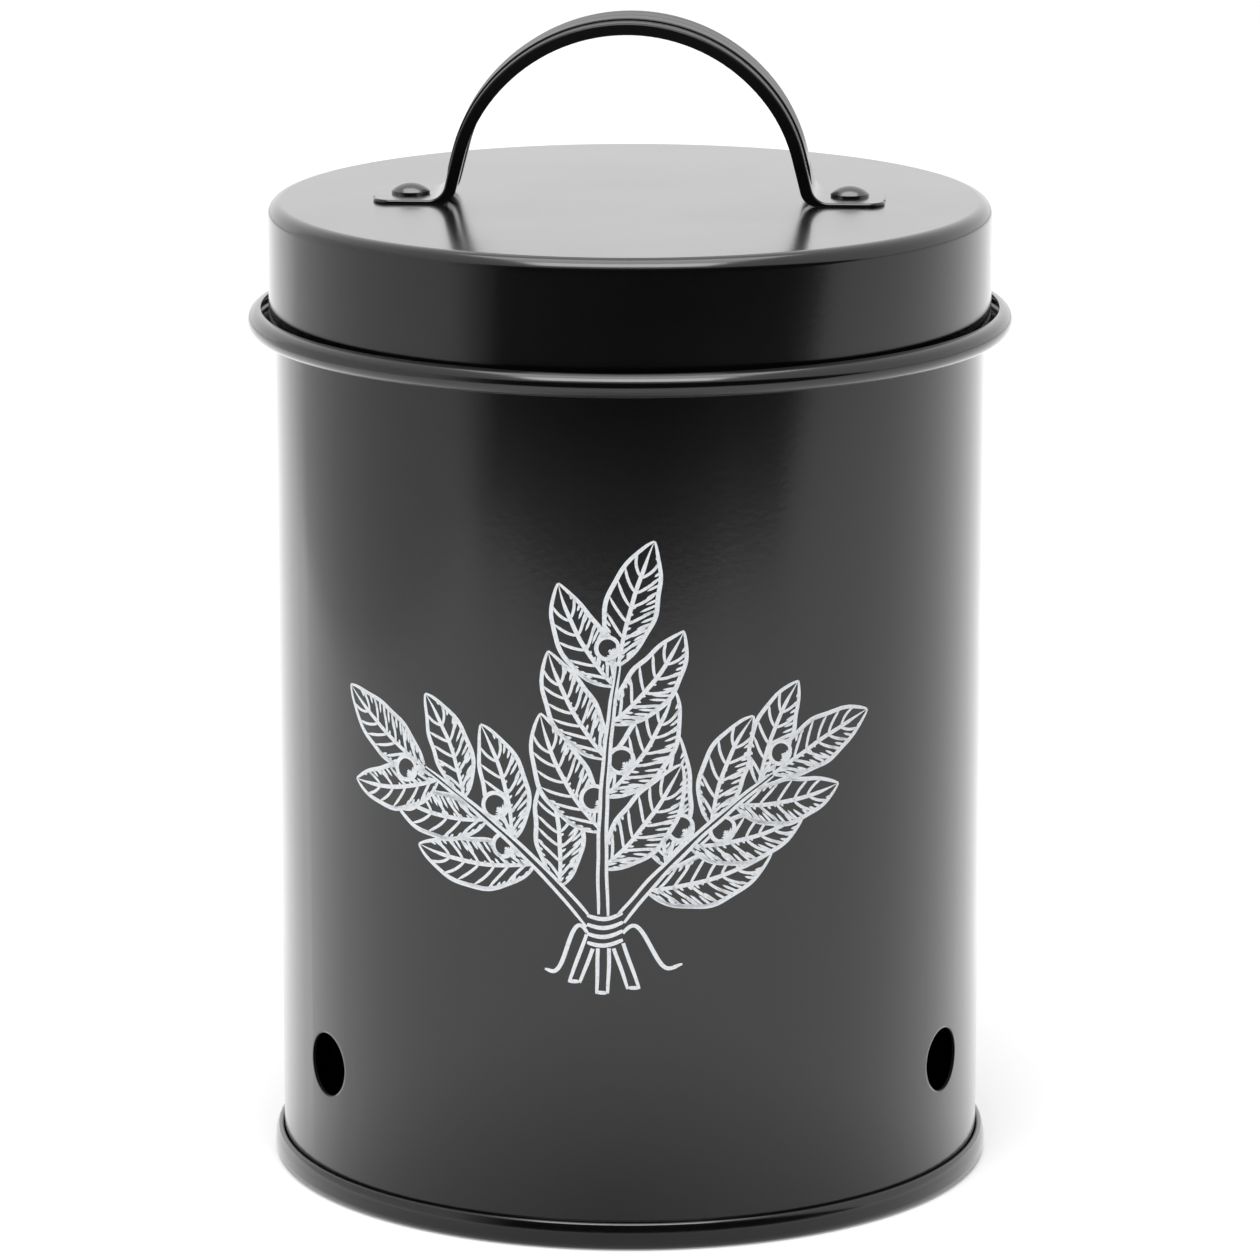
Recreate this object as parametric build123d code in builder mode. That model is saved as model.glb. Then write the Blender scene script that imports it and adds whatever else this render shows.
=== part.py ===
"""Garlic keeper: a black tinplate canister with vent holes, a slip-over lid and a riveted strap handle.

Millimetres, +Z up. The origin is the centre of the ring the keeper stands on, at floor level.
The handle's arch runs along X; the keeper's front looks towards -Y.
"""
import os
from math import cos, radians, sin, tan

from build123d import *

# ---- Driving dimensions ----
sheet = 0.4  # tinplate of the body, bottom and lid
lap_gap = 0.06  # play between folded layers of sheet

body_diameter = 110.5  # outside of the body wall
lid_top_height = 153.0  # floor to the flat top of the lid
rim_curl_diameter = 2.2  # rolled rim of the body, turned inwards
rim_curl_turn = 270.0

side_seam_width = 5.0  # lap of the rolled body, on its inside
side_seam_margin = 3.0  # kept clear of the rim curl and the bottom plate

seam_height = 4.3  # double seam round the base
seam_foot_flat = 0.4  # width of the flat ring that stands on the table
seam_inner_bend = 0.5  # bend from the foot ring up to the countersunk wall
seam_bulge = 5.0  # radius of the upper half of the seam's outer wall, which leans in
seam_lean = 22.0
cover_hook_gap = 0.45  # left free between the cover hook's end and the body's fold
body_hook_height = 2.5  # floor to the end of the body hook

bottom_recess = 3.6  # floor to the underside of the bottom panel
bottom_bend = 0.9  # bend between the countersunk wall and the panel

vent_diameter = 10.0
vent_count = 3
vent_height = 21.5  # floor to the centres of the vents
vent_turn = 4.35  # the rear vent, turned from the handle's middle plane

lid_clearance = 0.6  # between the lid's skirt and the body, on the radius
lid_seat_gap = 0.1  # between the lid's underside and the body's rim
lid_height = 20.4  # top of the lid to the bottom of its curl
lid_corner = 2.1
lid_curl_diameter = 3.7  # open curl round the skirt's edge, turned outwards
lid_curl_turn = 275.0

strap_sheet = 0.3
strap_width = 15.0
strap_height = 28.6  # top of the lid to the top of the arch
strap_crown_radius = 28.7
strap_crown_half_angle = 53.8
strap_shoulder_radius = 26.0
strap_leg_slant = 14.0  # the legs lean outwards towards their feet
strap_bend = 2.4  # bend from a leg to its foot, on the upper face
strap_foot_margin = 5.5  # centre of a rivet to the end of its foot
strap_foot_corner = 3.0
strap_sole_bend = 2.7
hem_width = 3.7  # each folded edge, outside the arch's raised middle band
hem_step = 0.3  # the folded edges and the feet lie so far below the middle band
hem_depth = 2.15  # middle band's outer face to the bottom of the folded edges
hem_edge = 0.35  # rounding of the folded edges, above
hem_sole_edge = 0.15  # and below
band_edge = 0.2  # rounding of the middle band
band_run_out_share = 0.55  # share of a leg's straight length over which the band sinks into it

rivet_bend_gap = 0.13  # between a rivet's head and the bend of the leg
rivet_shank_diameter = 3.1
rivet_hole_clearance = 0.05
rivet_head_diameter = 6.0
rivet_head_height = 1.6
rivet_head_rim = 0.4  # upright edge of the head, below its dome
rivet_tail_diameter = 5.0
rivet_tail_height = 0.9

# ---- Sizes that follow ----
body_radius = body_diameter / 2
body_bore = body_radius - sheet
rim_height = lid_top_height - sheet - lid_seat_gap
rim_curl_radius = rim_curl_diameter / 2

# The double seam, layer by layer outwards: body wall, cover hook, body hook, outer wall.
cover_hook_radius = body_radius + lap_gap
body_hook_radius = cover_hook_radius + sheet + lap_gap
seam_radius = body_hook_radius + sheet + lap_gap + sheet
body_fold = (body_hook_radius - body_radius) / 2
countersink_radius = body_bore - lap_gap - sheet
seam_foot_bend = seam_radius - countersink_radius - seam_inner_bend - seam_foot_flat
seam_lean_in = seam_bulge * (1 - cos(radians(seam_lean)))
seam_fold = (seam_radius - seam_lean_in - cover_hook_radius) / (1 + cos(radians(seam_lean)))
seam_bulge_height = (
    seam_height - seam_fold * (1 - sin(radians(seam_lean))) - seam_bulge * sin(radians(seam_lean))
)

skirt_radius = body_radius + lid_clearance + sheet
lid_curl_bend = lid_curl_diameter / 2 - sheet
lid_curl_height = lid_top_height - lid_height + lid_curl_diameter / 2

# The middle band's outer face, from its crown to a foot: crown arc, shoulder arc, straight leg, bend.
# Heights are above the lid.
strap_foot_height = 2 * strap_sheet
band_foot_height = strap_foot_height + hem_step
strap_leg_angle = 90.0 - strap_leg_slant
shoulder_offset = strap_crown_radius - strap_shoulder_radius
shoulder_reach = shoulder_offset * sin(radians(strap_crown_half_angle)) + strap_shoulder_radius * sin(
    radians(strap_leg_angle)
)
shoulder_height = (
    strap_height
    - strap_crown_radius
    + shoulder_offset * cos(radians(strap_crown_half_angle))
    + strap_shoulder_radius * cos(radians(strap_leg_angle))
)
leg_drop = shoulder_height - band_foot_height
bend_setback = strap_bend * tan(radians(strap_leg_angle / 2))
leg_length = leg_drop / cos(radians(strap_leg_slant)) - bend_setback
band_run_out = band_run_out_share * leg_length
foot_start = shoulder_reach + leg_drop * tan(radians(strap_leg_slant)) + bend_setback
rivet_reach = foot_start + rivet_bend_gap + rivet_head_diameter / 2
strap_foot_end = rivet_reach + strap_foot_margin
band_reach = strap_width / 2 - hem_width

vent_angle = 90.0 + vent_turn
side_seam_angle = vent_angle + 180.0 / vent_count


def finish_piece(piece, label):
    """Names a finished piece and writes its STEP file."""
    piece.label = label
    export_step(piece, f"parts/{label}.step")


os.makedirs("parts", exist_ok=True)

# ---- Body: rolled wall, curled in at the rim, hooked out at the base ----
with BuildPart() as body_shell:
    with BuildSketch(Plane.XZ):
        with BuildLine():
            rim = CenterArc(
                (body_radius - rim_curl_radius, rim_height - rim_curl_radius),
                rim_curl_radius,
                start_angle=rim_curl_turn,
                arc_size=-rim_curl_turn,
            )
            wall = Line(rim @ 1, (body_radius, seam_foot_bend))
            fold = JernArc(wall @ 1, wall % 1, body_fold, 180)
            Line(fold @ 1, (body_hook_radius, body_hook_height))
            offset(amount=sheet, side=Side.RIGHT)
        make_face()
    revolve(axis=Axis.Z)
    # The lap of the side seam
    lap_bottom = seam_height + side_seam_margin
    lap_top = rim_height - rim_curl_diameter - side_seam_margin
    lap_arc = side_seam_width / radians(body_bore)
    with BuildSketch(Plane.XZ.rotated((0, 0, side_seam_angle - lap_arc / 2))):
        with Locations((body_bore, (lap_bottom + lap_top) / 2)):
            Rectangle(2 * sheet, lap_top - lap_bottom)
    revolve(axis=Axis.Z, revolution_arc=lap_arc)
    # The vents
    with Locations((0, 0, vent_height)):
        with PolarLocations(body_radius, vent_count, start_angle=vent_angle):
            Cylinder(vent_diameter / 2, 8 * sheet, rotation=(0, 90, 0), mode=Mode.SUBTRACT)
finish_piece(body_shell.part, "body_shell")

# ---- Bottom plate: panel, countersunk wall and the outer half of the double seam ----
with BuildPart() as bottom_plate:
    with BuildSketch(Plane.XZ):
        with BuildLine():
            panel = Line((0, bottom_recess), (countersink_radius - bottom_bend, bottom_recess))
            shoulder = JernArc(panel @ 1, panel % 1, bottom_bend, -90)
            countersink = Line(shoulder @ 1, (countersink_radius, seam_inner_bend))
            heel = JernArc(countersink @ 1, countersink % 1, seam_inner_bend, 90)
            foot = Line(heel @ 1, (seam_radius - seam_foot_bend, 0))
            toe = JernArc(foot @ 1, foot % 1, seam_foot_bend, 90)
            outer_wall = Line(toe @ 1, (seam_radius, seam_bulge_height))
            bulge = JernArc(outer_wall @ 1, outer_wall % 1, seam_bulge, seam_lean)
            over = JernArc(bulge @ 1, bulge % 1, seam_fold, 180 - seam_lean)
            Line(over @ 1, (cover_hook_radius, seam_foot_bend + cover_hook_gap))
            offset(amount=sheet, side=Side.LEFT)
        make_face()
    revolve(axis=Axis.Z)
finish_piece(bottom_plate.part, "bottom_plate")

# ---- Lid: drawn cap with an open curl round its skirt ----
with BuildPart() as lid_cap:
    with BuildSketch(Plane.XZ):
        with BuildLine():
            top = Line((0, lid_top_height), (skirt_radius - lid_corner, lid_top_height))
            corner = JernArc(top @ 1, top % 1, lid_corner, -90)
            skirt = Line(corner @ 1, (skirt_radius, lid_curl_height))
            JernArc(skirt @ 1, skirt % 1, lid_curl_bend, lid_curl_turn)
            offset(amount=sheet, side=Side.RIGHT)
        make_face()
    revolve(axis=Axis.Z)
    with Locations((-rivet_reach, 0, lid_top_height), (rivet_reach, 0, lid_top_height)):
        Hole(rivet_shank_diameter / 2 + rivet_hole_clearance, depth=2 * sheet)
finish_piece(lid_cap.part, "lid_cap")


# ---- Handle: one strap with both long edges folded under, bent to an arch with two feet ----
def strap_arch(depth, leg=leg_length):
    """Draws half of the arch, from its crown down a leg, so far below the middle band's outer face."""
    crown = JernArc(
        (0, strap_height - depth), (1, 0), strap_crown_radius - depth, -strap_crown_half_angle
    )
    shoulder = JernArc(
        crown @ 1,
        crown % 1,
        strap_shoulder_radius - depth,
        strap_crown_half_angle - strap_leg_angle,
    )
    return PolarLine(shoulder @ 1, leg, direction=shoulder % 1)


def under_strap(depth, floor, rise=0.0):
    """Draws the outline of all that lies under a face of the strap, which the band's rise lifts in the arch."""
    bend_radius = strap_bend + depth
    leg = strap_arch(depth - rise, leg_length - band_run_out)
    run_out = Line(
        leg @ 1,
        (
            foot_start - bend_radius * sin(radians(strap_leg_angle)),
            band_foot_height + strap_bend - bend_radius * cos(radians(strap_leg_angle)),
        ),
    )
    bend = JernArc(run_out @ 1, leg % 1, bend_radius, strap_leg_angle)
    foot = Line(bend @ 1, (strap_foot_end, band_foot_height - depth))
    Polyline(foot @ 1, (strap_foot_end, floor), (0, floor), (0, strap_height - depth + rise))


def long_edges(piece, depth):
    """Finds the strap's long edges at a depth below its outer face, by their arcs at the crown."""
    arcs = piece.edges().filter_by(GeomType.CIRCLE)
    return arcs.filter_by(lambda arc: abs(arc.radius - strap_crown_radius + depth) < 0.001)


lid_plane = Plane(origin=(0, 0, lid_top_height), x_dir=(1, 0, 0), z_dir=(0, -1, 0))
cut_below = -2 * hem_depth

with BuildPart() as band:
    with BuildSketch(lid_plane):
        with BuildLine():
            under_strap(hem_step, 0, hem_step)
        make_face()
        with BuildLine():
            under_strap(hem_step + strap_sheet, cut_below)
        make_face(mode=Mode.SUBTRACT)
    extrude(amount=band_reach, both=True)
    fillet(long_edges(band, 0), band_edge)

with BuildPart() as handle_strap:
    with BuildSketch(lid_plane) as side_view:
        with BuildLine():
            under_strap(hem_step, 0)
        make_face()
        with BuildLine():
            under_strap(hem_depth, cut_below)
        make_face(mode=Mode.SUBTRACT)
        sole_start = side_view.vertices().group_by(Axis.Y)[0].sort_by(Axis.X)[0]
        fillet(sole_start, strap_sole_bend)
    extrude(amount=strap_width / 2, both=True)
    fillet(handle_strap.edges().filter_by(Axis.Z).group_by(Axis.X)[-1], strap_foot_corner)
    fillet(long_edges(handle_strap, hem_step), hem_edge)
    fillet(long_edges(handle_strap, hem_depth), hem_sole_edge)
    add(band.part)
    # The channel between the hems, under the middle band
    with BuildSketch(lid_plane):
        with BuildLine():
            under_strap(hem_step + strap_sheet, cut_below, hem_step)
        make_face()
    extrude(amount=band_reach - strap_sheet, both=True, mode=Mode.SUBTRACT)
    # The slot inside each hem, pressed shut in the feet
    with BuildSketch(lid_plane):
        with BuildLine():
            slot_top = strap_arch(hem_step + strap_sheet)
            slot_bottom = strap_arch(hem_depth - strap_sheet)
            Line(slot_top @ 1, slot_bottom @ 1)
            Line(
                (0, strap_height - hem_step - strap_sheet),
                (0, strap_height - hem_depth + strap_sheet),
            )
        make_face()
    extrude(amount=strap_width / 2 - strap_sheet, both=True, mode=Mode.SUBTRACT)
    with Locations((rivet_reach, 0, lid_top_height + strap_foot_height)):
        Hole(rivet_shank_diameter / 2 + rivet_hole_clearance, depth=2 * strap_foot_height)
    mirror(about=Plane.YZ)
finish_piece(handle_strap.part, "handle_strap")

# ---- Rivets: domed head on the strap, tail spread under the lid ----
for side, name in ((-1, "rivet_left"), (1, "rivet_right")):
    seat = (side * rivet_reach, 0, lid_top_height + strap_foot_height)
    grip = strap_foot_height + sheet
    with BuildPart() as rivet:
        with BuildSketch(Plane(origin=seat, x_dir=(1, 0, 0), z_dir=(0, -1, 0))):
            with BuildLine():
                head_radius = rivet_head_diameter / 2
                shank_radius = rivet_shank_diameter / 2
                tail_radius = rivet_tail_diameter / 2
                dome = TangentArc(
                    (0, rivet_head_height), (head_radius, rivet_head_rim), tangent=(1, 0)
                )
                Polyline(
                    dome @ 1,
                    (head_radius, 0),
                    (shank_radius, 0),
                    (shank_radius, -grip),
                    (tail_radius, -grip),
                    (shank_radius, -grip - rivet_tail_height),
                    (0, -grip - rivet_tail_height),
                    dome @ 0,
                )
            make_face()
        revolve(axis=Axis(seat, (0, 0, 1)))
    finish_piece(rivet.part, name)
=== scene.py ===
"""Looks of the garlic keeper: satin black enamel on tinplate, a white line print, a pale studio."""
import math
import random

import bmesh
import bpy
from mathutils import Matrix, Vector


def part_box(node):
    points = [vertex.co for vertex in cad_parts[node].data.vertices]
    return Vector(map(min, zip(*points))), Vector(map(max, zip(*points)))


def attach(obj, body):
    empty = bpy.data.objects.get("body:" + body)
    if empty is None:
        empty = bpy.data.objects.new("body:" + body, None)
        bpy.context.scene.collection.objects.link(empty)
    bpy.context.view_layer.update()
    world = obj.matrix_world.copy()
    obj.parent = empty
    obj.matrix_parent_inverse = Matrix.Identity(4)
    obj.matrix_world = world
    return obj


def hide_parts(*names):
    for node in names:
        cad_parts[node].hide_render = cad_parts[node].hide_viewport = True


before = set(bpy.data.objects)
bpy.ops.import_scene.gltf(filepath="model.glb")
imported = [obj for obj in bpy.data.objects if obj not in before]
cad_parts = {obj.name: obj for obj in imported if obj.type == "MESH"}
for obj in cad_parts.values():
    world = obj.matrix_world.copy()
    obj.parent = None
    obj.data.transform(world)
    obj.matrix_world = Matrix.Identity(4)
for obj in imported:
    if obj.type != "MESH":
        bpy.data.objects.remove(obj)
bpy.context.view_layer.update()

MM = 0.001

# ---- Camera: where the photograph was taken from ----
CAMERA_DISTANCE = 1.04
CAMERA_HEIGHT = 0.3241
CAMERA_TURN = math.radians(2.7)  # about +Z, so that the handle's arch is turned a little in the picture
FRAME_FILL = 0.987  # share of the picture's height that the keeper takes
SENSOR = 36.0

# ---- Studio ----
TABLE_REACH = 3.0
# Right half of the table's front edge: how far aside, and how far in front of the keeper's axis
TABLE_EDGE = [(0.15, 0.485), (0.3, 0.465), (0.44, 0.38), (TABLE_REACH, 0.36)]
TABLE_WHITE = 0.8
TABLE_LIFT = 0.26  # glow that makes the table as white as the background
# Painted shade: in reflections the table is painted darker round a point in front of the keeper's foot
FOOT_SHADE_CENTRE = (0, -0.075, 0)
FOOT_SHADE_REACH = 0.11
FOOT_SHADE_WHITE = 0.28  # how white the table still is in the middle of the shade in front of the foot
FLAG_FOOT = (-0.35, -0.118)  # along Y and Z, under the table's front edge
FLAG_TOP = (-TABLE_REACH, 2.0)
# The side card's painted shade: black at CARD_FRONT, coming up to its full grey at CARD_WHOLE
CARD_FRONT = -0.8
CARD_WHOLE = -0.33  # from here on the card has its full grey
CARD_BACK = 0.3
ROOM_LIGHT = 0.15  # the world's strength, but for rays that show the background
WHITE = (1.0, 1.0, 1.0, 1.0)

# ---- Sheet metal, as in the frame ----
SHEET = 0.4 * MM
LAP_GAP = 0.06 * MM
WALL_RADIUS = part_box("body_shell")[1].x - 2 * (SHEET + LAP_GAP)  # inside the hook at the wall's foot
LID_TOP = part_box("lid_cap")[1].z
LID_CORNER = 2.1 * MM
LID_CURL_BEND = 1.45 * MM
LID_CURL_TURN = 275
BOTTOM_RECESS = 3.6 * MM
BOTTOM_BEND = 0.9 * MM
SEAM_INNER_BEND = 0.5 * MM
SEAM_FOOT_FLAT = 0.4 * MM
SEAM_BULGE = 5.0 * MM
SEAM_LEAN = 22
COVER_HOOK_GAP = 0.45 * MM
VENT_COUNT = 3
VENT_ANGLE = math.radians(94.35)
VENT_HEIGHT = 21.5 * MM
VENT_RADIUS = 5.0 * MM
VENT_LIP = 0.3 * MM  # how far from a vent's edge the wall starts to round in
ROLL_LINE_DEPTH = 0.18 * MM
HEM_GROOVE_FROM_MIDDLE = 5.4 * MM
HEM_GROOVE_REACH = 0.5 * MM
HEM_GROOVE_DEPTH = 0.03 * MM
LEG_COAT = 0.2  # share of the gloss that is left on the arch
COAT_FADE = (3 * MM, 10 * MM)  # heights above the lid where the gloss starts to go and where it has gone
TURN_STEPS = 384
BEND_STEP = 5  # degrees
RUN_MARGIN = 0.05 * MM

# ---- Print: a tied bunch of bay sprigs, in strokes of white ink on the unrolled wall ----
# Millimetres on the unrolled wall: x round it, from the front to the right, and y above the floor.
PEN = 0.6  # width of an outline's stroke
FINE_PEN = 0.42  # of a vein or a hatching line
PEN_STEP = 0.3  # between two points of a stroke
WOBBLE = 0.05  # how far the hand strays
INK_LIFT = 0.03 * MM  # thickness of the ink
BUNCH_FOOT = (-1.5, 41.0)
TIE_HEIGHT = 50.5
TIE_WIDTH = 5.4
TIE_DEPTH = 4.2
STALK_HALF = 0.85  # half the width of a cut stalk

# Each sprig: where its stem crosses the tie, its heading, how much it bends, its length and its leaf's length
SPRIGS = [
    {"offset": 0.2, "heading": 93, "bend": -12, "length": 41, "leaf": 21.5, "pairs": 3},
    {"offset": -1.3, "heading": 128, "bend": 25, "length": 36, "leaf": 20.5, "pairs": 3},
    {"offset": 1.5, "heading": 54, "bend": -22, "length": 34, "leaf": 20.5, "pairs": 3},
]
INK = (0.9, 0.925, 0.955)
THIN_INK = (0.74, 0.77, 0.8)


# ---- Node helpers ----
def add_node(tree, kind, values=None, **settings):
    """Adds a shader node, sets its properties, and fills or links its inputs."""
    made = tree.nodes.new(kind)
    for name, value in settings.items():
        setattr(made, name, value)
    for name, value in (values or {}).items():
        socket = made.inputs[name]
        if isinstance(value, bpy.types.NodeSocket):
            tree.links.new(value, socket)
        else:
            socket.default_value = value
    return made


def new_material(name):
    """Returns a material with an empty node tree, and its output node."""
    material = bpy.data.materials.new(name)
    material.use_nodes = True
    material.node_tree.nodes.clear()
    output = material.node_tree.nodes.new("ShaderNodeOutputMaterial")
    return material, material.node_tree, output


def seen_directly(tree):
    """Is 1 for rays that show the background: from the camera, off gloss or through glass."""
    path = add_node(tree, "ShaderNodeLightPath")
    camera_or_glossy = add_node(
        tree,
        "ShaderNodeMath",
        {0: path.outputs["Is Camera Ray"], 1: path.outputs["Is Glossy Ray"]},
        operation="MAXIMUM",
    )
    return add_node(
        tree,
        "ShaderNodeMath",
        {0: camera_or_glossy.outputs[0], 1: path.outputs["Is Transmission Ray"]},
        operation="MAXIMUM",
    ).outputs[0]


# ---- Finishes ----
def outside_bore(tree, place):
    """Is 1 on the outside of the wall, and 0 on its inside and the punched edges of its vents."""
    flat = add_node(tree, "ShaderNodeVectorMath", {0: place, 1: (1, 1, 0)}, operation="MULTIPLY")
    away = add_node(tree, "ShaderNodeVectorMath", {0: flat.outputs["Vector"]}, operation="LENGTH")
    return add_node(
        tree,
        "ShaderNodeMath",
        {0: away.outputs["Value"], 1: WALL_RADIUS - SHEET / 2},
        operation="GREATER_THAN",
    ).outputs[0]


def on_feet(tree, place):
    """Is 1 on the handle's feet and falls to LEG_COAT up its legs, where bending has dulled the lacquer."""
    height = add_node(tree, "ShaderNodeSeparateXYZ", {"Vector": place}).outputs["Z"]
    return add_node(
        tree,
        "ShaderNodeMapRange",
        {
            "Value": height,
            "From Min": LID_TOP + COAT_FADE[0],
            "From Max": LID_TOP + COAT_FADE[1],
            "To Min": 1,
            "To Max": LEG_COAT,
        },
    ).outputs["Result"]


def vent_lip(tree, place):
    """Is the height of the wall's surface, which the punch has drawn in round the vents."""
    split = add_node(tree, "ShaderNodeSeparateXYZ", {"Vector": place}).outputs
    angle = add_node(tree, "ShaderNodeMath", {0: split["Y"], 1: split["X"]}, operation="ARCTAN2")
    pitch = 2 * math.pi / VENT_COUNT
    turned = add_node(
        tree,
        "ShaderNodeMath",
        {0: angle.outputs[0], 1: VENT_ANGLE + pitch / 2, 2: VENT_ANGLE - pitch / 2},
        operation="WRAP",
    )
    from_vent = add_node(tree, "ShaderNodeMath", {0: turned.outputs[0], 1: VENT_ANGLE}, operation="SUBTRACT")
    across = add_node(tree, "ShaderNodeMath", {0: from_vent.outputs[0]}, operation="SINE")
    across = add_node(tree, "ShaderNodeMath", {0: across.outputs[0], 1: WALL_RADIUS}, operation="MULTIPLY")
    above = add_node(tree, "ShaderNodeMath", {0: split["Z"], 1: VENT_HEIGHT}, operation="SUBTRACT")
    offset = add_node(tree, "ShaderNodeCombineXYZ", {"X": across.outputs[0], "Y": above.outputs[0]})
    away = add_node(tree, "ShaderNodeVectorMath", {0: offset.outputs["Vector"]}, operation="LENGTH")
    return add_node(
        tree,
        "ShaderNodeMapRange",
        {
            "Value": away.outputs["Value"],
            "From Min": VENT_RADIUS - VENT_LIP / 2,
            "From Max": VENT_RADIUS + VENT_LIP,
            "To Min": -VENT_LIP / 2,
            "To Max": 0,
        },
        interpolation_type="SMOOTHSTEP",
    ).outputs["Result"]


def roll_lines(tree, place):
    """Is the height of the arch's surface: a shallow groove along each hem, and faint lines from rolling."""
    across = add_node(tree, "ShaderNodeSeparateXYZ", {"Vector": place}).outputs["Y"]
    lines = add_node(
        tree, "ShaderNodeTexNoise", {"W": across, "Scale": 420.0, "Detail": 1.0}, noise_dimensions="1D"
    )
    from_middle = add_node(tree, "ShaderNodeMath", {0: across}, operation="ABSOLUTE")
    from_groove = add_node(
        tree, "ShaderNodeMath", {0: from_middle.outputs[0], 1: HEM_GROOVE_FROM_MIDDLE}, operation="SUBTRACT"
    )
    from_groove = add_node(tree, "ShaderNodeMath", {0: from_groove.outputs[0]}, operation="ABSOLUTE")
    groove = add_node(
        tree,
        "ShaderNodeMapRange",
        {
            "Value": from_groove.outputs[0],
            "From Max": HEM_GROOVE_REACH,
            "To Min": -HEM_GROOVE_DEPTH,
            "To Max": 0,
        },
        interpolation_type="SMOOTHSTEP",
    )
    height = add_node(
        tree,
        "ShaderNodeMath",
        {0: lines.outputs["Fac"], 1: ROLL_LINE_DEPTH, 2: groove.outputs["Result"]},
        operation="MULTIPLY_ADD",
    )
    off_feet = add_node(tree, "ShaderNodeMath", {0: 1, 1: on_feet(tree, place)}, operation="SUBTRACT")
    return add_node(
        tree, "ShaderNodeMath", {0: height.outputs[0], 1: off_feet.outputs[0]}, operation="MULTIPLY"
    ).outputs[0]


def enamel(name, coated=None, dull=0.8, roughness=0.2, coat_roughness=0.14, coat_ior=1.45, relief=None):
    """Black enamel with a faint orange peel: two layers of gloss, or one dull layer where it isn't coated."""
    material, tree, output = new_material(name)
    place = add_node(tree, "ShaderNodeTexCoord").outputs["Object"]
    cloud = add_node(tree, "ShaderNodeTexNoise", {"Vector": place, "Scale": 38.0, "Detail": 3.0})
    peel = add_node(tree, "ShaderNodeTexNoise", {"Vector": place, "Scale": 900.0, "Detail": 2.0})
    gloss = add_node(
        tree,
        "ShaderNodeMapRange",
        {
            "Value": cloud.outputs["Fac"],
            "From Min": 0.3,
            "From Max": 0.7,
            "To Min": roughness - 0.03,
            "To Max": roughness + 0.03,
        },
    ).outputs["Result"]
    coat = 1.0
    if coated:
        coat = coated(tree, place)
        gloss = add_node(
            tree, "ShaderNodeMix", {"Factor": coat, "A": dull, "B": gloss}, data_type="FLOAT"
        ).outputs["Result"]
    tint = add_node(
        tree,
        "ShaderNodeMix",
        {"Factor": cloud.outputs["Fac"], "A": (0.0018, 0.0018, 0.0021, 1), "B": (0.0026, 0.0026, 0.0031, 1)},
        data_type="RGBA",
    )
    bump = add_node(
        tree,
        "ShaderNodeBump",
        {"Height": peel.outputs["Fac"], "Strength": 0.25, "Distance": 0.02 * MM},
    )
    if relief:
        bump = add_node(
            tree,
            "ShaderNodeBump",
            {"Height": relief(tree, place), "Distance": 1.0, "Normal": bump.outputs["Normal"]},
        )
    shader = add_node(
        tree,
        "ShaderNodeBsdfPrincipled",
        {
            "Base Color": tint.outputs["Result"],
            "Roughness": gloss,
            "IOR": 1.4,
            "Specular IOR Level": 0.32,
            "Coat Weight": coat,
            "Coat Roughness": coat_roughness,
            "Coat IOR": coat_ior,
            "Normal": bump.outputs["Normal"],
            "Coat Normal": bump.outputs["Normal"],
        },
    )
    tree.links.new(shader.outputs[0], output.inputs["Surface"])
    return material


def dress(node, material):
    """Gives a CAD node its finish."""
    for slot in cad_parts[node].material_slots:
        slot.link = "OBJECT"
        slot.material = material


sheet_finish = enamel("sheet_finish")
rivet_finish = enamel("rivet_finish", roughness=0.27, coat_roughness=0.2, coat_ior=1.75)
dress("body_shell", enamel("wall_finish", coated=outside_bore, relief=vent_lip))
dress("handle_strap", enamel("strap_finish", coated=on_feet, dull=0.42, relief=roll_lines))
dress("rivet_left", rivet_finish)
dress("rivet_right", rivet_finish)


# ---- Lid and bottom, turned finely: the frame's facets would show in their gloss ----
def towards(heading):
    """Returns the unit vector of a heading in the (radius, height) plane."""
    return Vector((math.cos(heading), math.sin(heading)))


class SheetPath:
    """A sheet's path from the axis outwards, in the (radius, height) plane: straight runs and bends."""

    def __init__(self, height):
        self.stations = [(Vector((0, height)), 0.0)]

    def run(self, length):
        """Goes straight on, with a point close to each end that keeps the shading flat between them."""
        start, heading = self.stations[-1]
        for gone in (RUN_MARGIN, length - RUN_MARGIN, length):
            self.stations.append((start + gone * towards(heading), heading))

    def bend(self, radius, turn):
        """Turns by so many degrees, to the left where they are positive."""
        start, heading = self.stations[-1]
        to_centre = math.copysign(math.pi / 2, turn)
        centre = start + radius * towards(heading + to_centre)
        steps = math.ceil(abs(turn) / BEND_STEP)
        for step in range(1, steps + 1):
            now = heading + math.radians(turn) * step / steps
            self.stations.append((centre - radius * towards(now + to_centre), now))

    def position(self):
        """Returns the radius and height that the path has reached."""
        return self.stations[-1][0]

    def outline(self, depth):
        """Returns the sheet's outline: the path, and back so far to its right, or left where negative."""
        back = [point - depth * towards(heading + math.pi / 2) for point, heading in self.stations]
        return [point for point, _ in self.stations] + back[::-1]


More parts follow.
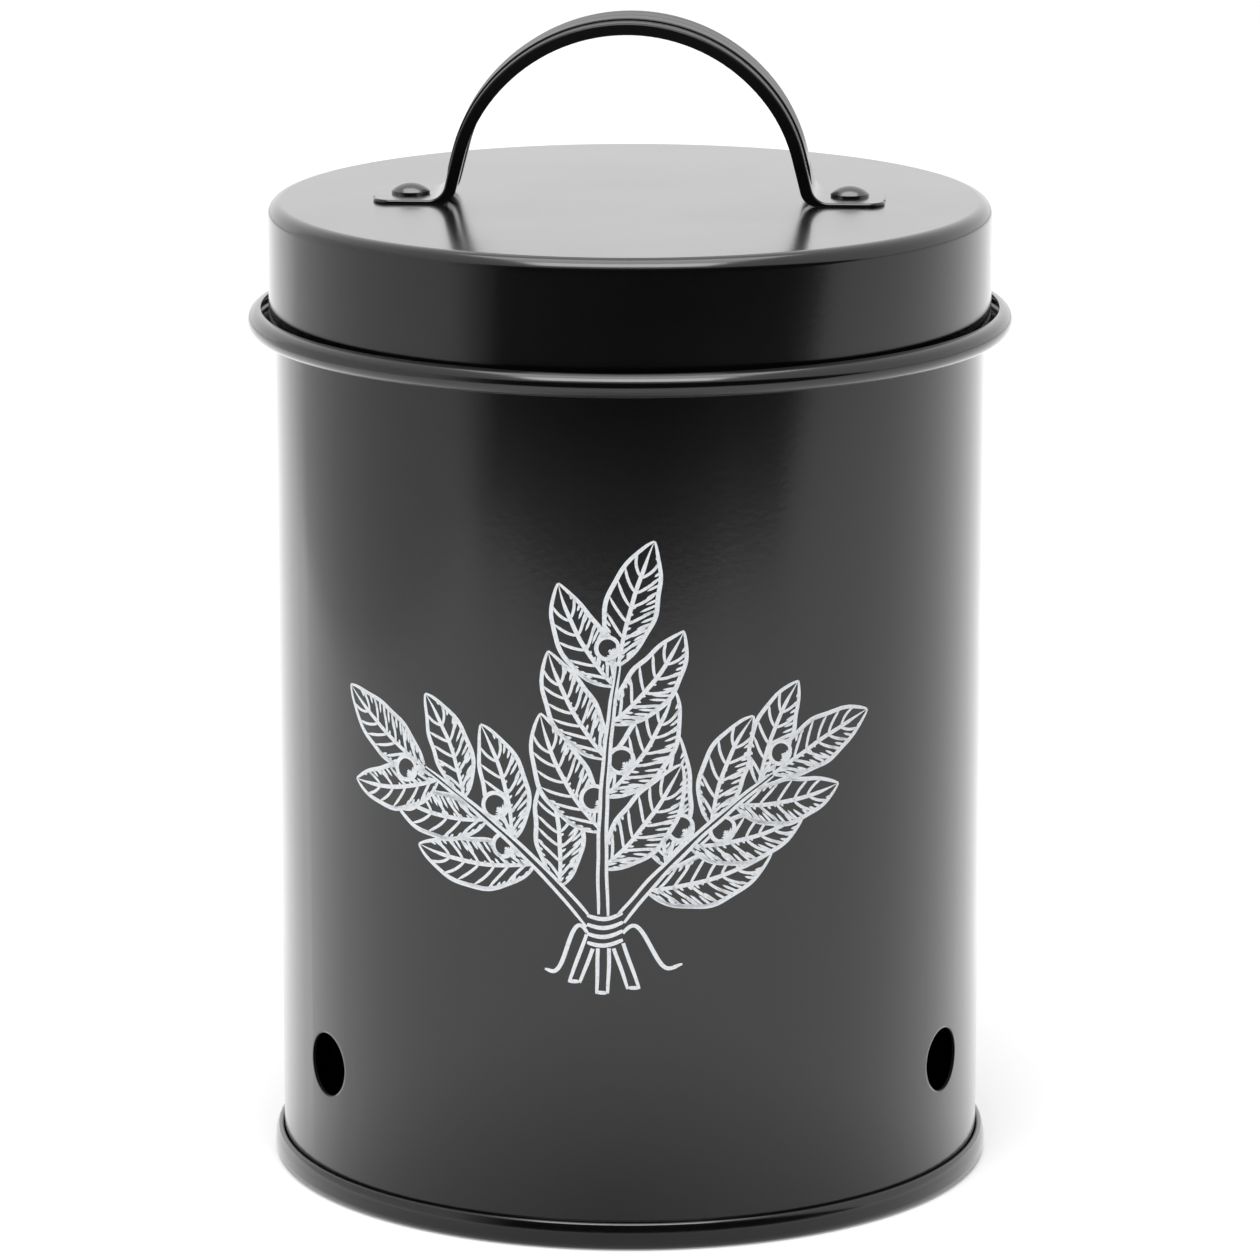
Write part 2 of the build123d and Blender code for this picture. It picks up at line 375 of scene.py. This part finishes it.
def turned_sheet(name, outline):
    """Turns an outline that starts and ends on the axis into a smooth mesh."""
    mesh_maker = bmesh.new()
    rings = []
    for radius, height in outline:
        steps = TURN_STEPS if radius > 0 else 1
        angles = [2 * math.pi * step / steps for step in range(steps)]
        rings.append(
            [mesh_maker.verts.new((radius * math.cos(a), radius * math.sin(a), height)) for a in angles]
        )
    for ring, after in zip(rings, rings[1:]):
        for step in range(TURN_STEPS):
            corners = (
                ring[step % len(ring)],
                after[step % len(after)],
                after[(step + 1) % len(after)],
                ring[(step + 1) % len(ring)],
            )
            mesh_maker.faces.new(dict.fromkeys(corners))
    bmesh.ops.recalc_face_normals(mesh_maker, faces=mesh_maker.faces)
    mesh = bpy.data.meshes.new(name)
    mesh_maker.to_mesh(mesh)
    mesh_maker.free()
    mesh.shade_smooth()
    mesh.set_sharp_from_angle(angle=math.radians(45))
    return add_piece(name, mesh)


def add_piece(name, mesh):
    """Puts a mesh into the scene as an object."""
    made = bpy.data.objects.new(name, mesh)
    bpy.context.scene.collection.objects.link(made)
    return made


def make_lid():
    """Flat top, corner, skirt, and the open curl round its edge."""
    low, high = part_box("lid_cap")
    skirt_radius = high.x - SHEET - 2 * LID_CURL_BEND
    path = SheetPath(high.z)
    path.run(skirt_radius - LID_CORNER)
    path.bend(LID_CORNER, -90)
    path.run(path.position().y - low.z - SHEET - LID_CURL_BEND)
    path.bend(LID_CURL_BEND, LID_CURL_TURN)
    lid = turned_sheet("lid_sheet", path.outline(SHEET))
    lid.data.materials.append(sheet_finish)
    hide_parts("lid_cap")
    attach(lid, "lid")


def make_bottom():
    """Recessed panel, countersunk wall, foot ring, and the outer half of the double seam."""
    low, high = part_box("bottom_plate")
    countersink_radius = WALL_RADIUS - 2 * SHEET - LAP_GAP
    cover_hook_radius = WALL_RADIUS + LAP_GAP
    foot_bend = high.x - countersink_radius - SEAM_INNER_BEND - SEAM_FOOT_FLAT
    lean = math.radians(SEAM_LEAN)
    lean_in = SEAM_BULGE * (1 - math.cos(lean))
    fold = (high.x - lean_in - cover_hook_radius) / (1 + math.cos(lean))
    path = SheetPath(BOTTOM_RECESS)
    path.run(countersink_radius - BOTTOM_BEND)
    path.bend(BOTTOM_BEND, -90)
    path.run(path.position().y - SEAM_INNER_BEND)
    path.bend(SEAM_INNER_BEND, 90)
    path.run(SEAM_FOOT_FLAT)
    path.bend(foot_bend, 90)
    path.run(high.z - fold * (1 - math.sin(lean)) - SEAM_BULGE * math.sin(lean) - foot_bend)
    path.bend(SEAM_BULGE, SEAM_LEAN)
    path.bend(fold, 180 - SEAM_LEAN)
    path.run(path.position().y - foot_bend - COVER_HOOK_GAP)
    bottom = turned_sheet("bottom_sheet", path.outline(-SHEET))
    bottom.data.materials.append(sheet_finish)
    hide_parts("bottom_plate")
    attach(bottom, "canister")


make_lid()
make_bottom()


def curve_point(start, heading, bend, length, share):
    """Returns the point and heading at a share of a curve that bends evenly."""
    now = heading + bend * share
    radius = length / bend
    return (
        start[0] + radius * (math.sin(now) - math.sin(heading)),
        start[1] - radius * (math.cos(now) - math.cos(heading)),
    ), now


class Drawing:
    """Strokes of ink; what is drawn first lies in front and hides what comes later."""

    def __init__(self, seed):
        self.hand = random.Random(seed)
        self.ribbons = []
        self.covers = []

    def cover(self, outline):
        """Hides all later strokes behind a closed outline."""
        xs = [x for x, _ in outline]
        ys = [y for _, y in outline]
        self.covers.append((min(xs), max(xs), min(ys), max(ys), outline))

    def hidden(self, x, y):
        """Tells whether a point lies behind one of the covers."""
        for left, right, low, high, outline in self.covers:
            if left < x < right and low < y < high:
                inside = False
                for (x0, y0), (x1, y1) in zip(outline, outline[1:] + outline[:1]):
                    if (y0 > y) != (y1 > y) and x < x0 + (x1 - x0) * (y - y0) / (y1 - y0):
                        inside = not inside
                if inside:
                    return True
        return False

    def stroke(self, path, length, width, swell=0.25, thin_start=0.6, thin_end=0.25):
        """Draws a path, given by shares from 0 to 1, with a pen that presses harder in its middle."""
        count = max(4, round(length / PEN_STEP))
        sway = self.hand.uniform(0, 2 * math.pi)
        reach = self.hand.uniform(0.5, 1.0) * WOBBLE
        run = []
        for step in range(count + 1):
            share = step / count
            x, y = path(share)
            if self.hidden(x, y):
                self.finish_run(run)
                run = []
                continue
            x += reach * math.sin(sway + length * share * 0.9)
            y += reach * math.cos(sway * 2 + length * share * 0.7)
            ends = min(1, thin_start + 4 * share, thin_end + 4 * (1 - share))
            press = ends * (1 + swell * math.sin(math.pi * share)) / (1 + swell / 2)
            run.append((x, y, width * press))
        self.finish_run(run)

    def finish_run(self, run):
        """Keeps a run of visible points that is long enough for a ribbon."""
        if len(run) > 2:
            self.ribbons.append(run)


def draw_leaf(drawing, base, heading, bend, length, width, shaded):
    """Draws a bay leaf: edges, midrib, side veins, and hatching on its shaded half and at its base."""
    hand = drawing.hand
    wave = hand.uniform(0, 2 * math.pi)

    def place(along, across):
        (x, y), now = curve_point(base, heading, bend, length, along)
        bulge = max(0.0, 4 * along * (1 - along)) ** 0.85 * (1.08 - 0.22 * along)
        half = across * width / 2 * bulge * (1 + 0.035 * math.sin(19 * along + wave))
        return x - half * math.sin(now), y + half * math.cos(now)

    edge = [place(step / 40, 1) for step in range(41)] + [place(step / 40, -1) for step in range(39, 0, -1)]
    for side in (1, -1):
        drawing.stroke(lambda t, s=side: place(t, s), length, PEN, swell=0.5, thin_end=0.7)
        drawing.stroke(lambda t, s=side: place(0.12 + 0.5 * t, 0.97 * s), length / 2, PEN * 0.7)
    drawing.stroke(lambda t: place(0.98 * t, 0), length, PEN, thin_start=1.3, thin_end=0.2)

    rake = 0.17
    vein_count = round(length / 3.4)
    for side in (1, -1):
        for vein in range(vein_count):
            root = 0.09 + 0.74 * (vein + hand.uniform(-0.08, 0.08)) / vein_count

            def rib(t, root=root, side=side):
                return place(root + rake * t**1.25, side * 0.95 * t)

            drawing.stroke(rib, width / 2 * 1.1, FINE_PEN, thin_end=0.15)
    hatch_count = round(length / 1.15)
    for line in range(hatch_count):
        share = (line + hand.uniform(-0.2, 0.2)) / hatch_count
        dark = 0.34 + 0.2 * math.sin(share * math.pi) + hand.uniform(-0.12, 0.1)
        lit = hand.uniform(0.1, 0.24) + 0.1 * (1 - share)
        for side, depth in ((shaded, dark), (-shaded, lit)) if share < 0.4 else ((shaded, dark),):

            def hatch(t, share=share, side=side, depth=depth):
                reach = 1 - depth * t
                return place(0.06 + 0.9 * share - rake * (1 - reach) * 0.9, side * reach * 0.985)

            drawing.stroke(hatch, depth * width / 2, FINE_PEN * 0.85, thin_start=1, thin_end=0.1)
        if share < 0.5:
            depth = 0.06 + (0.5 - share) * 0.7 + hand.uniform(-0.05, 0.08)

            def root_hatch(t, share=share, depth=depth):
                return place(0.04 + share + rake * (t * depth) ** 1.25, shaded * depth * t)

            drawing.stroke(root_hatch, depth * width / 2, FINE_PEN * 0.8, thin_start=1, thin_end=0.1)
    drawing.cover(edge)


def draw_berry(drawing, centre, radius, stalk_root):
    """Draws a berry with hatching on its lower right, and the stalk that carries it."""
    hand = drawing.hand

    def rim(t, share=1.0):
        return (
            centre[0] + share * radius * math.cos(2 * math.pi * t),
            centre[1] + share * radius * math.sin(2 * math.pi * t),
        )

    drawing.stroke(rim, 2 * math.pi * radius, PEN, thin_end=0.9, thin_start=0.9)
    for ring in range(1, 5):
        share = 1 - 0.17 * ring
        start = -0.3 + 0.025 * ring + hand.uniform(-0.02, 0.02)
        sweep = 0.42 - 0.07 * ring

        def shade(t, share=share, start=start, sweep=sweep):
            return rim(start + sweep * t, share)

        drawing.stroke(shade, sweep * 2 * math.pi * radius * share, FINE_PEN * 0.8, thin_start=0.2)
    drawing.cover([rim(step / 24) for step in range(24)])

    def stalk(t):
        sag = 0.9 * math.sin(math.pi * t)
        return (
            stalk_root[0] + (centre[0] - stalk_root[0]) * t,
            stalk_root[1] + (centre[1] - stalk_root[1]) * t + sag,
        )

    drawing.stroke(stalk, math.dist(stalk_root, centre), PEN * 0.9, thin_start=1, thin_end=0.8)


def draw_tie(drawing):
    """Draws the string round the stems: its turns and two loose ends."""
    middle = BUNCH_FOOT[0] + 0.3
    for turn in range(4):
        height = TIE_HEIGHT + TIE_DEPTH * (turn / 3 - 0.5)

        def wrap(t, height=height):
            return middle + TIE_WIDTH * (t - 0.5), height - 0.7 * math.sin(math.pi * t) + 0.5 * t

        drawing.stroke(wrap, TIE_WIDTH, PEN, thin_start=0.8, thin_end=0.8)
    for side, reach, fall in ((1, 9.0, 6.0), (-1, 6.5, 7.0)):

        def loose_end(t, side=side, reach=reach, fall=fall):
            return (
                middle + side * (TIE_WIDTH / 2 + reach * t),
                TIE_HEIGHT - 0.6 + 1.8 * math.sin(math.pi * t * 2.2) - fall * t**1.5,
            )

        drawing.stroke(loose_end, reach + fall, PEN, thin_start=1, thin_end=0.6)
    half, deep = TIE_WIDTH / 2, TIE_DEPTH / 2 + 0.4
    drawing.cover(
        [(middle + x * half, TIE_HEIGHT - 0.4 + y * deep) for x, y in ((-1, -1), (1, -1), (1, 1), (-1, 1))]
    )


def draw_sprig(drawing, offset, heading, bend, length, leaf, pairs):
    """Draws one sprig: a stem from the bunch's foot, leaves in pairs, one at its tip, and berries."""
    hand = drawing.hand
    heading, bend = math.radians(heading), math.radians(bend)
    start = (BUNCH_FOOT[0] + offset, TIE_HEIGHT)

    def stem(t, side=0):
        (x, y), now = curve_point(start, heading, bend, length, t)
        half = side * (0.75 - 0.45 * t)
        return x - half * math.sin(now), y + half * math.cos(now)

    for side in (1, -1):
        drawing.stroke(lambda t, s=side: stem(t, s), length, PEN * 0.85, thin_end=0.5)
    drawing.cover([stem(t / 20, 1) for t in range(21)] + [stem(1 - t / 20, -1) for t in range(21)])
    for pair in range(pairs):
        share = 0.3 + 0.55 * pair / (pairs - 1)
        for side in (1, -1):
            at = share + 0.07 * side
            root = stem(at)
            now = heading + bend * at
            berry_at = now + side * math.radians(hand.uniform(15, 25))
            reach = hand.uniform(5.0, 6.5)
            centre = (root[0] + reach * math.cos(berry_at), root[1] + reach * math.sin(berry_at))
            if side == (1, -1)[pair % 2]:
                draw_berry(drawing, centre, hand.uniform(1.7, 2.1), root)
    tip, now = curve_point(start, heading, bend, length, 1)
    draw_leaf(drawing, tip, now, math.radians(-14), leaf * 0.92, leaf * 0.36, -1)
    for pair in reversed(range(pairs)):
        share = 0.3 + 0.55 * pair / (pairs - 1)
        for side in (1, -1):
            at = share + 0.07 * side
            now = heading + bend * at + side * math.radians(hand.uniform(44, 54))
            size = leaf * (1.04 - 0.24 * share) * hand.uniform(0.95, 1.05)
            draw_leaf(
                drawing, stem(at), now, side * math.radians(-hand.uniform(22, 36)), size, size * 0.39, -1
            )


def draw_stalks(drawing):
    """Draws the cut ends of the stems below the string."""
    for index, sprig in enumerate(SPRIGS):
        top = (BUNCH_FOOT[0] + sprig["offset"], TIE_HEIGHT)
        lean = math.radians(sprig["heading"] - 90) * 0.55
        reach = TIE_HEIGHT - BUNCH_FOOT[1] + (0.6, -1.0, -0.2)[index]

        def stalk(t, side=0, top=top, lean=lean, reach=reach):
            return top[0] - reach * t * math.sin(lean) + side * STALK_HALF, top[1] - reach * t

        for side in (1, -1):
            drawing.stroke(lambda t, s=side: stalk(t, s), reach, PEN * 0.9, thin_end=0.8)
        width = 2 * STALK_HALF
        drawing.stroke(lambda t: (stalk(1, -1)[0] + width * t, stalk(1)[1] + 0.2), width, PEN * 0.9)
        drawing.cover([stalk(0, -1), stalk(0, 1), stalk(1, 1), stalk(1, -1)])


def ink_material():
    """White screen ink: matt, a little uneven where it lies thinner."""
    material, tree, output = new_material("white_ink")
    place = add_node(tree, "ShaderNodeTexCoord").outputs["Object"]
    grain = add_node(tree, "ShaderNodeTexNoise", {"Vector": place, "Scale": 2600.0, "Detail": 3.0})
    cover = add_node(
        tree,
        "ShaderNodeMapRange",
        {"Value": grain.outputs["Fac"], "From Min": 0.3, "From Max": 0.5, "To Min": 0.0, "To Max": 1.0},
    )
    tint = add_node(
        tree,
        "ShaderNodeMix",
        {"Factor": cover.outputs["Result"], "A": (*THIN_INK, 1), "B": (*INK, 1)},
        data_type="RGBA",
    )
    bump = add_node(
        tree,
        "ShaderNodeBump",
        {"Height": grain.outputs["Fac"], "Strength": 0.3, "Distance": 0.01 * MM},
    )
    shader = add_node(
        tree,
        "ShaderNodeBsdfPrincipled",
        {
            "Base Color": tint.outputs["Result"],
            "Roughness": 0.55,
            "IOR": 1.45,
            "Normal": bump.outputs["Normal"],
        },
    )
    tree.links.new(shader.outputs[0], output.inputs["Surface"])
    return material


def ink_ribbon(mesh_maker, run):
    """Lays one stroke on the wall as a strip of faces."""
    radius = WALL_RADIUS + INK_LIFT
    rows = []
    for index, (x, y, width) in enumerate(run):
        before = run[max(0, index - 1)]
        after = run[min(len(run) - 1, index + 1)]
        along = Vector((after[0] - before[0], after[1] - before[1])).normalized()
        row = []
        for side in (1, -1):
            turn = (x - side * along.y * width / 2) * MM / WALL_RADIUS
            height = (y + side * along.x * width / 2) * MM
            row.append(mesh_maker.verts.new((radius * math.sin(turn), -radius * math.cos(turn), height)))
        rows.append(row)
    for (left, right), (next_left, next_right) in zip(rows, rows[1:]):
        mesh_maker.faces.new((left, right, next_right, next_left)).smooth = True


def make_print():
    """Draws the bunch and lays its ink on the front of the wall."""
    drawing = Drawing(seed=7)
    draw_tie(drawing)
    draw_stalks(drawing)
    for sprig in SPRIGS:
        draw_sprig(drawing, **sprig)
    mesh_maker = bmesh.new()
    for run in drawing.ribbons:
        ink_ribbon(mesh_maker, run)
    mesh = bpy.data.meshes.new("front_print")
    mesh_maker.to_mesh(mesh)
    mesh_maker.free()
    ink = add_piece("front_print", mesh)
    ink.data.materials.append(ink_material())
    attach(ink, "canister")


make_print()


# ---- Studio: table, a black sheet for the dark room in front, overhead softbox, white world ----
def sheet_of(name, corners):
    """Makes one flat face from its corners."""
    mesh = bpy.data.meshes.new(name)
    mesh.from_pydata(corners, [], [range(len(corners))])
    made = add_piece(name, mesh)
    return made


def table_material():
    """White, as bright as the background where it is seen directly; in reflections it has a painted shade in
    front of the foot.
    """
    material, tree, output = new_material("table_white")
    place = add_node(tree, "ShaderNodeTexCoord").outputs["Object"]
    # Painted shade: the table is painted darker near the foot, and rays off gloss see it
    away = add_node(tree, "ShaderNodeVectorMath", {0: place, 1: FOOT_SHADE_CENTRE}, operation="DISTANCE")
    near = add_node(
        tree,
        "ShaderNodeMapRange",
        {
            "Value": away.outputs["Value"],
            "From Max": FOOT_SHADE_REACH,
            "To Min": FOOT_SHADE_WHITE,
            "To Max": TABLE_WHITE,
        },
    )
    path = add_node(tree, "ShaderNodeLightPath")
    shade = add_node(
        tree,
        "ShaderNodeMix",
        {"Factor": path.outputs["Is Glossy Ray"], "A": TABLE_WHITE, "B": near.outputs["Result"]},
        data_type="FLOAT",
    )
    paint = add_node(tree, "ShaderNodeBsdfDiffuse", {"Color": shade.outputs["Result"]})
    lift = add_node(
        tree,
        "ShaderNodeMath",
        {0: seen_directly(tree), 1: TABLE_LIFT},
        operation="MULTIPLY",
    )
    glow = add_node(tree, "ShaderNodeEmission", {"Color": WHITE, "Strength": lift.outputs[0]})
    both = add_node(tree, "ShaderNodeAddShader")
    tree.links.new(paint.outputs[0], both.inputs[0])
    tree.links.new(glow.outputs[0], both.inputs[1])
    tree.links.new(both.outputs[0], output.inputs["Surface"])
    return material


left_edge = [(-aside, -ahead, 0) for aside, ahead in reversed(TABLE_EDGE)]
right_edge = [(aside, -ahead, 0) for aside, ahead in TABLE_EDGE]
back_corners = [(TABLE_REACH, TABLE_REACH, 0), (-TABLE_REACH, TABLE_REACH, 0)]
table = sheet_of("table", left_edge + right_edge + back_corners)
table.data.materials.append(table_material())

# Painted shade: a black sheet, unseen by the camera, stands in for the dark room in front
flag = sheet_of(
    "dark_flag",
    [
        (-TABLE_REACH, *FLAG_FOOT),
        (TABLE_REACH, *FLAG_FOOT),
        (TABLE_REACH, *FLAG_TOP),
        (-TABLE_REACH, *FLAG_TOP),
    ],
)
flag.visible_camera = False


def card_material(name, grey, painted_shade=None):
    """Matt card of one grey, or one with a painted shade that comes up from black to the grey between two
    places along Y.
    """
    material, tree, output = new_material(name)
    shade = (grey, grey, grey, 1)
    # Painted shade on the card: black at the first place along Y, and the full grey from the second on
    if painted_shade:
        place = add_node(tree, "ShaderNodeTexCoord").outputs["Object"]
        along = add_node(tree, "ShaderNodeSeparateXYZ", {"Vector": place}).outputs["Y"]
        share = add_node(
            tree, "ShaderNodeMapRange", {"Value": along, "From Min": painted_shade[0], "From Max": painted_shade[1]}
        ).outputs["Result"]
        curve = add_node(tree, "ShaderNodeMath", {0: share, 1: share}, operation="MULTIPLY").outputs[0]
        shade = add_node(tree, "ShaderNodeMath", {0: curve, 1: grey}, operation="MULTIPLY").outputs[0]
    card = add_node(tree, "ShaderNodeBsdfDiffuse", {"Color": shade})
    tree.links.new(card.outputs[0], output.inputs["Surface"])
    return material


flag.data.materials.append(card_material("flag_black", 0.01))
side_card = sheet_of(
    "side_card",
    [
        (-0.42, CARD_FRONT, 0.001),
        (-0.42, CARD_BACK, 0.001),
        (-0.5, CARD_BACK, 0.4),
        (-0.5, CARD_FRONT, 0.4),
    ],
)
side_card.visible_camera = False
# Painted shade on the side card: darker towards its front end
side_card.data.materials.append(card_material("card_grey", 0.85, painted_shade=(CARD_FRONT, CARD_WHOLE)))


def softbox(name, centre, aim, width, height, radiance):
    """Adds a rectangular lamp of so much radiance, facing a point."""
    lamp = bpy.data.lights.new(name, "AREA")
    lamp.shape = "RECTANGLE"
    lamp.size = width
    lamp.size_y = height
    lamp.energy = radiance * math.pi * width * height
    made = bpy.data.objects.new(name, lamp)
    bpy.context.scene.collection.objects.link(made)
    made.location = centre
    made.rotation_mode = "QUATERNION"
    made.rotation_quaternion = (Vector(aim) - Vector(centre)).to_track_quat("-Z", "Y")
    made.visible_camera = False
    return made


softbox("key", (0, -0.69, 1.24), (0, 0, 0.14), 1.1, 0.62, 7.0)
softbox("overhead", (0, 0.03, 1.42), (0, 0.03, 0), 1.1, 0.85, 2.95)
softbox("table_light", (0, 1.1, 0.8), (0, 1.1, 0), 2.6, 1.1, 1.15).visible_glossy = False

world = bpy.data.worlds.new("studio")
bpy.context.scene.world = world
world.use_nodes = True
world.node_tree.nodes.clear()
world_output = world.node_tree.nodes.new("ShaderNodeOutputWorld")
world_level = add_node(
    world.node_tree,
    "ShaderNodeMapRange",
    {"Value": seen_directly(world.node_tree), "To Min": ROOM_LIGHT, "To Max": 1.0},
)
background = add_node(
    world.node_tree, "ShaderNodeBackground", {"Color": WHITE, "Strength": world_level.outputs["Result"]}
)
world.node_tree.links.new(background.outputs[0], world_output.inputs["Surface"])


# ---- Camera ----
def place_camera():
    """Stands the camera where the photograph's was, and frames the keeper from handle to base ring."""
    handle_low, handle_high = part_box("handle_strap")
    base_low, base_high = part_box("bottom_plate")
    top_drop = math.atan((CAMERA_HEIGHT - handle_high.z) / (CAMERA_DISTANCE + handle_high.y))
    base_drop = math.atan(CAMERA_HEIGHT / (CAMERA_DISTANCE - base_high.y))
    data = bpy.data.cameras.new("camera")
    data.sensor_width = SENSOR
    data.lens = FRAME_FILL * SENSOR / 2 / math.tan((base_drop - top_drop) / 2)
    data.clip_start = 0.01
    data.clip_end = 100
    made = bpy.data.objects.new("camera", data)
    bpy.context.scene.collection.objects.link(made)
    made.location = (
        math.sin(CAMERA_TURN) * CAMERA_DISTANCE,
        -math.cos(CAMERA_TURN) * CAMERA_DISTANCE,
        CAMERA_HEIGHT,
    )
    made.rotation_euler = (math.pi / 2 - (top_drop + base_drop) / 2, 0, CAMERA_TURN)
    bpy.context.scene.camera = made


place_camera()

bpy.context.scene.view_settings.view_transform = "Standard"
